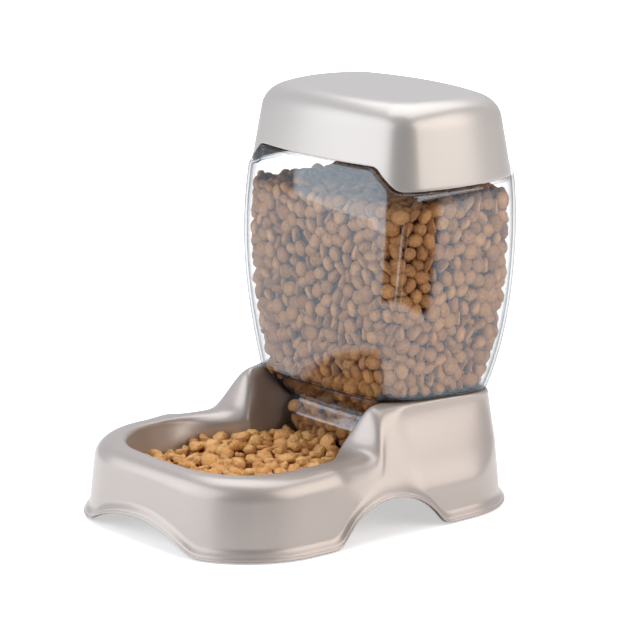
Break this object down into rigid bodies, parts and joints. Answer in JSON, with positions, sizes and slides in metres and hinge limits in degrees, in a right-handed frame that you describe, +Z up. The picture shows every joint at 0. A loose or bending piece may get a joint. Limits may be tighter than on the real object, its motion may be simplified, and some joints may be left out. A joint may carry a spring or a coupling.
{
  "type": "gravity pet feeder",
  "caption": "Gravity pet feeder: moulded base with a bowl in front, a clear lift-off hopper that spills dry food into it, and a lift-off lid.",
  "frame": {"origin": "on the floor, under the middle of the feeder's box", "axes": "+Z up, -Y to the front where the bowl is, +X to the right as seen from the front"},
  "size_m": [0.2192, 0.2863, 0.289],
  "materials": {
    "base_plastic": "pearl champagne moulded plastic, satin gloss",
    "lid_plastic": "pearl champagne moulded plastic, satin gloss",
    "clear_plastic": "clear moulded plastic, polished",
    "foot_rubber": "matte soft rubber",
    "dry_food": "matte baked dry pet food"
  },
  "bodies": {
    "base": {"base": "base_plastic", "foot_front_left": "foot_rubber", "foot_front_right": "foot_rubber", "foot_rear_left": "foot_rubber", "foot_rear_right": "foot_rubber", "food_in_bowl": "dry_food"},
    "hopper": {"hopper": "clear_plastic", "food_in_hopper": "dry_food"},
    "lid": {"lid": "lid_plastic"}
  },
  "joints": [
    {"name": "hopper_lift", "type": "slide", "parent": "base", "child": "hopper", "axis": [0, 0, 1], "range_m": [0, 0.12]},
    {"name": "lid_lift", "type": "slide", "parent": "hopper", "child": "lid", "axis": [0, 0, 1], "range_m": [0, 0.09]}
  ]
}
